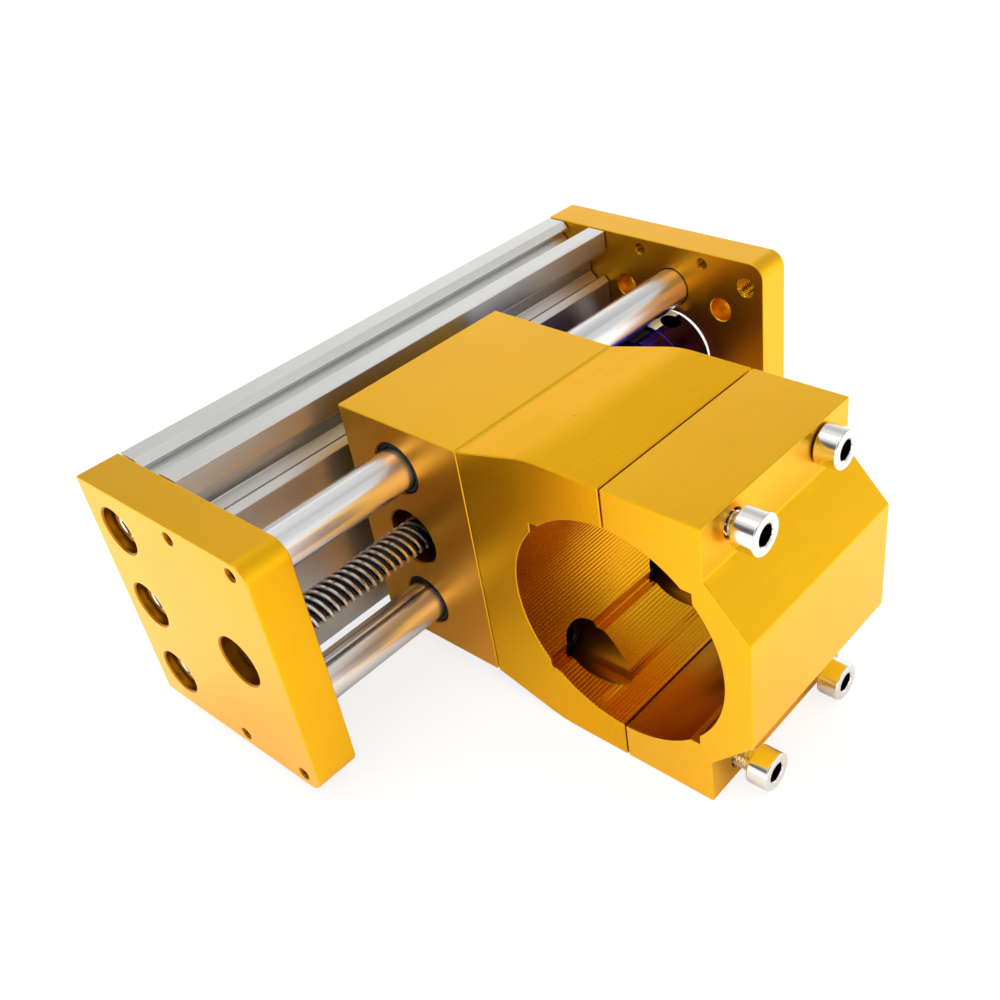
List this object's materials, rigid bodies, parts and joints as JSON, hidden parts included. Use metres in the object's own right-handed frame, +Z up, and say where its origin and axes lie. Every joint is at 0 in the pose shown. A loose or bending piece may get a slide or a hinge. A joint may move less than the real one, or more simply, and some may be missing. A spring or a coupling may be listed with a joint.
{
  "type": "cnc z-axis module",
  "caption": "Screw-driven linear Z axis: slotted profile, end plates and guide rods carrying a split clamp for a spindle, with a coupling and a motor flange.",
  "frame": {"origin": "centre of the bounding box in X and Y, at the underside of the clamp", "axes": "+X along the guide rods from the idle end plate to the motor plate, -Y from the profile's back to the clamp's front, +Z up as the module lies on its long side"},
  "size_m": [0.1576, 0.1316, 0.07],
  "materials": {
    "gold_anodised": "satin gold anodised, finely machined",
    "profile_aluminium": "natural anodised extrusion, satin",
    "ground_rod": "ground and polished hard chrome",
    "nickel_screw": "bright nickel plated",
    "black_screw": "black oxide",
    "bearing_steel": "bright bearing steel",
    "dark_steel": "dark rolled steel with bright thread crests",
    "blue_anodised": "glossy deep blue anodised",
    "spider_polymer": "matt black elastomer",
    "bush_polymer": "black dry-running polymer",
    "nut_brass": "turned brass"
  },
  "bodies": {
    "frame": {"back_profile": "profile_aluminium", "idle_end_plate": "gold_anodised", "motor_plate": "gold_anodised", "guide_rod_upper": "ground_rod", "guide_rod_lower": "ground_rod", "profile_screw_idle_1": "nickel_screw", "profile_screw_idle_2": "nickel_screw", "profile_screw_idle_3": "nickel_screw", "profile_screw_motor_1": "nickel_screw", "profile_screw_motor_2": "nickel_screw", "profile_screw_motor_3": "nickel_screw", "bearing_outer_ring": "bearing_steel", "bearing_balls": "bearing_steel"},
    "carriage": {"carriage_block": "gold_anodised", "rod_bush_upper_near": "bush_polymer", "rod_bush_upper_far": "bush_polymer", "rod_bush_lower_near": "bush_polymer", "rod_bush_lower_far": "bush_polymer", "lead_nut": "nut_brass", "nut_screw_1": "nickel_screw", "nut_screw_2": "nickel_screw", "nut_screw_3": "nickel_screw", "nut_screw_4": "nickel_screw", "rear_jaw": "gold_anodised", "jaw_mount_screw_1": "black_screw", "jaw_mount_screw_2": "black_screw", "jaw_mount_screw_3": "black_screw", "jaw_mount_screw_4": "black_screw"},
    "screw_drive": {"lead_screw": "dark_steel", "bearing_inner_ring": "bearing_steel", "coupling_hub_screw_side": "blue_anodised", "coupling_hub_motor_side": "blue_anodised", "coupling_spider": "spider_polymer", "coupling_hub_screw_side_set_screw": "black_screw", "coupling_hub_motor_side_set_screw": "black_screw"},
    "front_clamp": {"front_jaw": "gold_anodised"},
    "near_upper_screw": {"clamp_screw_near_upper": "nickel_screw"},
    "far_upper_screw": {"clamp_screw_far_upper": "nickel_screw"},
    "near_lower_screw": {"clamp_screw_near_lower": "nickel_screw"},
    "far_lower_screw": {"clamp_screw_far_lower": "nickel_screw"}
  },
  "joints": [
    {"name": "carriage_slide", "type": "slide", "parent": "frame", "child": "carriage", "axis": [1, 0, 0], "range_m": [-0.0375, 0.0175]},
    {"name": "screw_turn", "type": "hinge", "parent": "frame", "child": "screw_drive", "pos_m": [-0.0763, 0.0243, 0.035], "axis": [1, 0, 0], "range_deg": [-790, 1690]},
    {"name": "clamp_opening", "type": "slide", "parent": "carriage", "child": "front_clamp", "axis": [0, -1, 0], "range_m": [0, 0.002]},
    {"name": "near_upper_screw_turn", "type": "hinge", "parent": "front_clamp", "child": "near_upper_screw", "pos_m": [-0.0208, -0.0559, 0.065], "axis": [0, -1, 0], "range_deg": [0, 905]},
    {"name": "far_upper_screw_turn", "type": "hinge", "parent": "front_clamp", "child": "far_upper_screw", "pos_m": [0.0092, -0.0559, 0.065], "axis": [0, -1, 0], "range_deg": [0, 905]},
    {"name": "near_lower_screw_turn", "type": "hinge", "parent": "front_clamp", "child": "near_lower_screw", "pos_m": [-0.0208, -0.0559, 0.005], "axis": [0, -1, 0], "range_deg": [0, 905]},
    {"name": "far_lower_screw_turn", "type": "hinge", "parent": "front_clamp", "child": "far_lower_screw", "pos_m": [0.0092, -0.0559, 0.005], "axis": [0, -1, 0], "range_deg": [0, 905]}
  ],
  "couplings": [
    {"joint": "screw_turn", "follows": "carriage_slide", "rad_per_m": -785.4},
    {"joint": "near_upper_screw_turn", "follows": "clamp_opening", "rad_per_m": 7854},
    {"joint": "far_upper_screw_turn", "follows": "clamp_opening", "rad_per_m": 7854},
    {"joint": "near_lower_screw_turn", "follows": "clamp_opening", "rad_per_m": 7854},
    {"joint": "far_lower_screw_turn", "follows": "clamp_opening", "rad_per_m": 7854}
  ]
}
